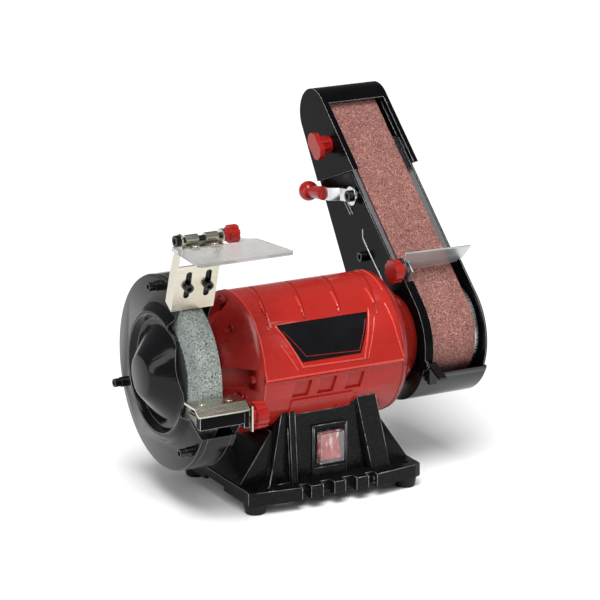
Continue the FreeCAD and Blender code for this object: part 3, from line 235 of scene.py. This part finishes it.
BLACK = (0.003, 0.003, 0.0035)
# cast_black carries painted sparkle highlights as pale specks in its colour.
paint("cast_black", BLACK, 0.22, 330, 0.0005, specular=0.12, painted_glint=(0.04, 0.04, 0.042))
paint("black_paint", BLACK, 0.13, 500, 0.00002, specular=0.2)
paint("satin_black", BLACK, 0.22, 700, 0.00004, specular=0.04)
paint("gloss_black", (0.005, 0.005, 0.0055), 0.18, 500, 0.00002, specular=0.4)
# Painted highlight: a paler, glossier black for the thin ridges along sharp edges.
paint("painted_highlight_black", (0.06, 0.06, 0.062), 0.16, 300, 0.0002, 0.6, 1.0, 0.6)
paint("red_paint", (0.34, 0.014, 0.009), 0.26, 420, 0.00003, 0.05, 0.3, 0.12)
# Painted shade: a darker copy of the red paint for the end bells and their bolts, standing in for
# the shade on them.
paint("red_in_painted_shade", (0.22, 0.011, 0.008), 0.26, 420, 0.00003, 0.05, 0.25, 0.15)
metal("grey_paint", (0.60, 0.63, 0.63), 0.36, (5, 60, 60), 0.00001, metallic=0.8)
metal("zinc", (0.62, 0.59, 0.50), 0.24, (8, 120, 120), 0.00001, stain=(0.45, 0.40, 0.28))
metal("bright_steel", (0.66, 0.66, 0.67), 0.2)
metal("dark_steel", (0.045, 0.045, 0.048), 0.3)
metal("aluminium", (0.78, 0.79, 0.80), 0.25)
metal("copper", (0.6, 0.26, 0.11), 0.35)
plastic("rubber", (0.008, 0.008, 0.008), 0.55, specular=0.2)
plastic("black_plastic", (0.004, 0.004, 0.005), 0.3, specular=0.12)
plastic("red_plastic", (0.30, 0.010, 0.007), 0.24, specular=0.32, coat=0.1, glow=0.03)
clear("clear", (0.95, 0.97, 0.96), 0.96, 0.02)
clear("shield_sheet", (0.86, 0.85, 0.83), 0.86, 0.16)
red_with_painted_highlight_streaks("rocker_red")
abrasive("abrasive_grey", (0.025, 0.035, 0.03), (0.24, 0.265, 0.25), (0.47, 0.51, 0.48),
         1100, 0.0003, 0.9, WHEEL_PAINTED_SHADE)
abrasive("abrasive_brown", (0.045, 0.014, 0.011), (0.26, 0.098, 0.08), (0.52, 0.32, 0.28),
         1400, 0.0002, 0.85)
# Painted highlights: brighter copies of the materials so named, for the rounded edges of their
# pieces and for raised lines, standing in for light caught along them.
paint("cast_black_edge", (0.07, 0.07, 0.072), 0.18, 330, 0.0002, 0.3, 0.9)
paint("black_paint_edge", (0.22, 0.22, 0.225), 0.12, 500, 0.00001, 0.3, 0.9)
paint("satin_black_edge", (0.42, 0.42, 0.43), 0.12, 700, 0.00002, 0.4, 1.0)
paint("red_paint_edge", (0.56, 0.04, 0.028), 0.16, 420, 0.00001, 0.4, 0.5, 0.1)


# ---- refined copies of the CAD pieces ------------------------------------------------------
def new_object(name, mesh, material):
    obj = bpy.data.objects.new(name, mesh)
    bpy.context.scene.collection.objects.link(obj)
    mesh.materials.clear()
    mesh.materials.append(MATERIALS[material])
    # Slot 1 holds the painted-highlight copy of the material, where there is one.
    mesh.materials.append(MATERIALS.get(material + "_edge", MATERIALS[material]))
    return obj


def new_mesh(name, bm):
    """Mesh from a bmesh that is then freed, its faces looking outward."""
    bmesh.ops.recalc_face_normals(bm, faces=bm.faces)
    mesh = bpy.data.meshes.new(name)
    bm.to_mesh(mesh)
    bm.free()
    return mesh


def tube(bm, rings):
    """Faces joining closed rings of vertices, with a cap on each end."""
    count = len(rings[0])
    for a, b in zip(rings, rings[1:]):
        for i in range(count):
            j = (i + 1) % count
            bm.faces.new((a[i], a[j], b[j], b[i]))
    bm.faces.new(rings[0])
    bm.faces.new(rings[-1])


def baked(obj):
    """Replace the object's mesh with its modified one."""
    depsgraph = bpy.context.evaluated_depsgraph_get()
    mesh = bpy.data.meshes.new_from_object(obj.evaluated_get(depsgraph))
    obj.modifiers.clear()
    obj.data = mesh


def welded(node):
    """Closed mesh of a CAD node, flats merged."""
    bm = bmesh.new()
    bm.from_mesh(NODES[node].data)
    bmesh.ops.remove_doubles(bm, verts=bm.verts, dist=0.000004)
    bmesh.ops.dissolve_limit(bm, angle_limit=math.radians(0.6), verts=bm.verts, edges=bm.edges)
    return bm


def soften(obj, width):
    """Round the sharp edges and shade the rest smooth."""
    bevel = obj.modifiers.new("bevel", "BEVEL")
    bevel.width = width * MM
    bevel.segments = 2
    bevel.limit_method = "ANGLE"
    bevel.angle_limit = math.radians(35)
    bevel.use_clamp_overlap = True
    bevel.harden_normals = True
    bevel.miter_outer = "MITER_ARC"
    # Bevel faces take slot 1, the painted-highlight copy of the material.
    bevel.material = 1
    for polygon in obj.data.polygons:
        polygon.use_smooth = True
    obj.data.set_sharp_from_angle(angle=math.radians(40))
    baked(obj)


def claim(obj, body, slot, *nodes):
    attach(obj, body)
    if nodes:
        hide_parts(*nodes)


def refined(node, width, material):
    """A finished copy of a CAD node, its edges rounded by width millimetres."""
    obj = new_object("vis_" + node, new_mesh("vis_" + node, welded(node)), material)
    if node == "left_bell":
        cut_bell_pockets(obj)
    soften(obj, width)
    claim(obj, BODY[node], SLOT[node], node)


# The left bell's bolt pockets: outlines in (x, radius), half widths, and degrees round the axis.
BELL_BLOCK = [(-72.5, 61), (-74, 60.8), (-79, 55.4), (-90, 42.6), (-97, 37), (-97, 33), (-73, 42)]
BELL_POCKET = [(-125, 28), (-97, 36.5), (-76, 46), (-76, 85), (-125, 85)]
BLOCK_HALF, POCKET_HALF = 12, 9.4
POCKET_ANGLES = (0, -90, 180)


def bell_prism(name, profile, half_width, angle):
    """Prism over an (x, radius) outline in millimetres, turned round the motor's axis."""
    bm = bmesh.new()
    turn = Matrix.Rotation(math.radians(angle), 3, "X")
    centre = Vector((0, 0, AXIS_Z))
    tube(bm, [[bm.verts.new(turn @ Vector((x, -r, t)) * MM + centre) for x, r in profile]
              for t in (-half_width, half_width)])
    return new_mesh(name, bm)


def cut_bell_pockets(obj):
    """Solid blocks first, then a pocket in each."""
    blocks = [("UNION", bell_prism("block", BELL_BLOCK, BLOCK_HALF, a)) for a in POCKET_ANGLES]
    pockets = [("DIFFERENCE", bell_prism("pocket", BELL_POCKET, POCKET_HALF, a))
               for a in POCKET_ANGLES]
    for operation, mesh in blocks + pockets:
        tool = bpy.data.objects.new("tool", mesh)
        bpy.context.scene.collection.objects.link(tool)
        modifier = obj.modifiers.new("tool", "BOOLEAN")
        modifier.operation = operation
        modifier.object = tool
        modifier.solver = "EXACT"
        baked(obj)
        bpy.data.objects.remove(tool)


PLAIN_EDGE = 0.35
EDGE_WIDTH = {
    "base_casting": 1.0, "motor_housing": 0.5, "eye_shield": 0.5, "rubber_feet": 1.0,
    "upper_hood": 0.5, "lower_cover": 0.5, "arm_left_plate": 0.5, "arm_right_plate": 0.5,
    "guard_cover": 0.3, "guard_backplate": 0.3, "label_plate": 0.15, "switch_rocker": 1.0,
    "switch_boot": 0.4, "lever_grip": 1.0, "shield_knob": 0.8, "rest_knob": 0.9,
    "tracking_knob": 0.9, "belt_rest_knob": 0.9, "belt_rest": 0.4, "left_bell": 0.6,
    "right_bell": 0.6}
# Nodes whose finish differs from their slot's own.
# The bells and their screws take the darker red copy, which is painted shade.
LOOK = {
    "arm_left_plate": "satin_black", "arm_right_plate": "satin_black", "arm_back": "satin_black",
    "upper_hood": "satin_black", "rest_arm": "satin_black", "bell_screws": "red_in_painted_shade",
    "lower_cover": "gloss_black", "left_bell": "red_in_painted_shade", "right_bell": "red_in_painted_shade",
    "eye_shield": "shield_sheet", "switch_rocker": "rocker_red"}

for cad_node in sorted(NODES):
    refined(cad_node, EDGE_WIDTH.get(cad_node, PLAIN_EDGE), LOOK.get(cad_node, SLOT[cad_node]))


def bolt_head(name, x, y, z, radius, depth):
    """Round head facing -X, with a chamfered rim and a round recess."""
    sides = 24
    profile = ((0, radius), (-depth + 0.5, radius), (-depth, radius - 0.5),
               (-depth, radius * 0.55), (-depth + 2.2, radius * 0.5))
    bm = bmesh.new()
    tube(bm, [[bm.verts.new(((x + dx) * MM, (y + r * math.cos(i * math.tau / sides)) * MM,
                             (z + r * math.sin(i * math.tau / sides)) * MM))
               for i in range(sides)] for dx, r in profile])
    # The heads take the darker red copy too, as painted shade.
    claim(new_object(name, new_mesh(name, bm), "red_in_painted_shade"), "grinder", "red_paint")


for number, (bolt_y, bolt_z) in enumerate([(-57, 122.5), (0, 179.5), (57, 122.5)]):
    bolt_head(f"vis_through_bolt_{number}", -75.9, bolt_y, bolt_z, 3.6, 4.2)


# ---- ridges and seams laid on the surfaces ---------------------------------------------------
TREES = {}
SAMPLE_STEP = 1.5        # mm, or degrees round the motor
# A bead's half round section: across in widths, up in heights.
BEAD_SECTION = ((-0.5, -0.15), (-0.32, 0.6), (0, 1), (0.32, 0.6), (0.5, -0.15))


def sampled(points):
    """Points every SAMPLE_STEP or so along a polyline, corners kept."""
    result = [Vector(points[0])]
    for a, b in zip(map(Vector, points), map(Vector, points[1:])):
        count = max(1, round((b - a).length / SAMPLE_STEP))
        result += [a.lerp(b, i / count) for i in range(1, count + 1)]
    return result


def on_motor(corners):
    """Points beside the housing from (x, degrees above level at the front)."""
    radius = 66
    return [Vector((x, -radius * math.cos(math.radians(a)),
                    AXIS_Z / MM + radius * math.sin(math.radians(a))))
            for x, a, _ in sampled([(x, a, 0) for x, a in corners])]


def on_arm(corners):
    """Points on the arm's left face from (distance along the arm, height across it)."""
    c, k = math.cos(ARM_TILT), math.sin(ARM_TILT)
    left_face = 100.5
    return sampled([(left_face, s * c - n * k, AXIS_Z / MM + s * k + n * c) for s, n in corners])


def bead(name, node, points, width, height, finish=None, with_painted_highlight=True):
    """A rounded ridge on a node's surface, along points near it, thinning out at both ends; unless
    told otherwise it wears the painted-highlight copy of its material.
    """
    if node not in TREES:
        surface = bmesh.new()
        surface.from_mesh(NODES[node].data)
        TREES[node] = BVHTree.FromBMesh(surface)
        surface.free()
    hits = [TREES[node].find_nearest(point * MM)[:2] for point in points]
    last = len(hits) - 1
    rings = []
    bm = bmesh.new()
    for i, (place, normal) in enumerate(hits):
        run = hits[min(i + 1, last)][0] - hits[max(i - 1, 0)][0]
        side = run.cross(normal).normalized()
        tall = height * MM * (0.1 if i in (0, last) else 1.0)
        rings.append([bm.verts.new(place + side * (u * width * MM) + normal * (v * tall))
                      for u, v in BEAD_SECTION])
    for a, b in zip(rings, rings[1:]):
        for j in range(len(BEAD_SECTION) - 1):
            bm.faces.new((a[j], a[j + 1], b[j + 1], b[j]))
    bm.faces.new(rings[0])
    bm.faces.new(rings[-1])
    obj = new_object(name, new_mesh(name, bm), finish or LOOK.get(node, SLOT[node]))
    for polygon in obj.data.polygons:
        polygon.use_smooth = True
        # Material index 1 is the painted-highlight copy of the finish.
        polygon.material_index = int(with_painted_highlight)
    claim(obj, BODY[node], SLOT[node])


def outline(name, node, radius):
    """Thin rounded ridges in a paler black along a node's long sharp edges, painted highlights
    standing in for light caught on them; edges that look down are left out, as the light falls from
    above.
    """
    bm = welded(node)
    bmesh.ops.recalc_face_normals(bm, faces=bm.faces)
    runs = []
    for edge in bm.edges:
        if len(edge.link_faces) != 2 or edge.calc_length() < 8 * MM or not edge.is_convex:
            continue
        facing = sum((face.normal for face in edge.link_faces), Vector()).z
        if edge.calc_face_angle() < math.radians(40) or facing < -0.2:
            continue
        runs.append([v.co.copy() for v in edge.verts])
    bm.free()
    ridges = bmesh.new()
    for a, b in runs:
        axis = (b - a).normalized()
        side = axis.orthogonal().normalized() * radius * MM
        spokes = [Matrix.Rotation(i * math.tau / 8, 3, axis) @ side for i in range(8)]
        tube(ridges, [[ridges.verts.new(end + spoke) for spoke in spokes]
                      for end in (a + axis * 0.5 * MM, b - axis * 0.5 * MM)])
    obj = new_object(name, new_mesh(name, ridges), "painted_highlight_black")
    for polygon in obj.data.polygons:
        polygon.use_smooth = True
    claim(obj, BODY[node], SLOT[node])


HOUSING_RIBS = [
    [(-52, 96), (-54, 63)], [(-15.6, 96), (-18, 64)], [(19.2, 96), (17, 64)],
    [(54.5, 96), (51.3, 62)]]
HOUSING_RIB_ENDS = [
    [(-53.6, 68), (-55.7, 45)], [(-17.8, 68), (-19.6, 45)], [(17.3, 68), (15.9, 46)],
    [(51.5, 66), (51.8, 48)]]
HOUSING_CREASES = [
    [(47.5, 38), (33.8, 5)], [(-50.9, 26), (-36.7, 4.3)], [(61.9, 48.5), (65.6, 18.7), (69.5, 1.6)],
    [(-68.8, 105), (-68.8, -40)], [(68.8, 100), (66.5, 60)]]
LABEL_FRAME = [(-51, 42), (-31.7, 6.5), (30.4, 5.6), (44.5, 45.8)]
LABEL_LINE = [(-45, 37), (-27.2, 14), (26.4, 12), (38.5, 37)]
HOUSING_SEAM = [(-68.7, 0), (72.4, 0)]
ARM_LINES = [
    [(148.5, 10.4), (127.3, 11)], [(146.2, 14.7), (125, 15.2)],
    [(105, 20), (98.7, 14), (81, 14), (33, 16)]]
BASE_LINES = [[(-64, -46, 56.5), (-78, -46, 37)], [(-60, -56, 36), (-65.5, -62, 22.7)]]

for number, line in enumerate(HOUSING_RIBS):
    bead(f"vis_housing_rib_{number}", "motor_housing", on_motor(line), 2.2, 0.6, with_painted_highlight=False)
for number, line in enumerate(HOUSING_RIB_ENDS):
    bead(f"vis_housing_rib_end_{number}", "motor_housing", on_motor(line), 2.2, 1.4)
for number, line in enumerate(HOUSING_CREASES):
    bead(f"vis_housing_crease_{number}", "motor_housing", on_motor(line), 1.6, 1.1)
bead("vis_label_frame", "motor_housing", on_motor(LABEL_FRAME), 2.0, 1.3)
bead("vis_housing_seam", "motor_housing", on_motor(HOUSING_SEAM), 1.8, 1.2)
bead("vis_label_line", "label_plate", on_motor(LABEL_LINE), 0.5, 0.2, "red_paint", False)
for number, line in enumerate(ARM_LINES):
    bead(f"vis_arm_line_{number}", "arm_left_plate", on_arm(line), 1.3, 0.7)
for number, line in enumerate(BASE_LINES):
    bead(f"vis_base_line_{number}", "base_casting", sampled(line), 1.4, 0.8)
outline("vis_base_outline", "base_casting", 0.35)
outline("vis_arm_outline", "arm_left_plate", 0.3)


# ---- stage, light and camera ----------------------------------------------------------------
def floor(size, colour, rough):
    h = size / 2
    mesh = bpy.data.meshes.new("floor")
    mesh.from_pydata([(-h, -h, 0), (h, -h, 0), (h, h, 0), (-h, h, 0)], [], [(0, 1, 2, 3)])
    obj = bpy.data.objects.new("floor", mesh)
    bpy.context.scene.collection.objects.link(obj)
    m = Mat("floor", Roughness=rough, Specular_IOR_Level=0.2, Base_Color=(*colour, 1))
    mesh.materials.append(m.mat)


def softbox(name, location, target, size_x, size_y, power):
    light = bpy.data.lights.new(name, "AREA")
    light.shape = "RECTANGLE"
    light.size = size_x
    light.size_y = size_y
    light.energy = power
    obj = bpy.data.objects.new(name, light)
    obj.location = location
    aim = Vector(target) - Vector(location)
    obj.rotation_euler = aim.to_track_quat("-Z", "Y").to_euler()
    bpy.context.scene.collection.objects.link(obj)


floor(60, (0.93, 0.93, 0.93), 0.7)
world = bpy.data.worlds.new("studio")
bpy.context.scene.world = world
world.use_nodes = True
world.node_tree.nodes["Background"].inputs["Color"].default_value = (0.96, 0.98, 1.0, 1)
world.node_tree.nodes["Background"].inputs["Strength"].default_value = 0.25
sun = bpy.data.lights.new("sun", "SUN")
sun.energy = 3.2
sun.angle = math.radians(35)
sun_object = bpy.data.objects.new("sun", sun)
sun_object.rotation_euler = (math.radians(22), math.radians(-14), 0)
bpy.context.scene.collection.objects.link(sun_object)
softbox("key", (-0.9, -1.3, 1.2), (0, 0, 0.12), 0.5, 0.9, 9)
softbox("right", (1.5, -0.9, 0.8), (0.05, 0, 0.15), 0.35, 1.2, 8)
softbox("left", (-1.5, 0.1, 0.7), (0, 0, 0.15), 0.4, 1.1, 5)

# The camera solved from the photograph, azimuth measured from straight in front.
AZIMUTH = math.radians(28.54)
ELEVATION = math.radians(16.15)
TARGET = Vector((0.00017, 0, 0.1698))
DISTANCE = 2.849
toward = Vector((-math.sin(AZIMUTH) * math.cos(ELEVATION),
                 -math.cos(AZIMUTH) * math.cos(ELEVATION), math.sin(ELEVATION)))
camera_data = bpy.data.cameras.new("camera")
camera_data.lens = 191.4
camera_data.sensor_width = 36
camera = bpy.data.objects.new("camera", camera_data)
camera.location = TARGET + toward * DISTANCE
camera.rotation_euler = (-toward).to_track_quat("-Z", "Y").to_euler()
bpy.context.scene.collection.objects.link(camera)
bpy.context.scene.camera = camera
bpy.context.scene.view_settings.view_transform = "Standard"
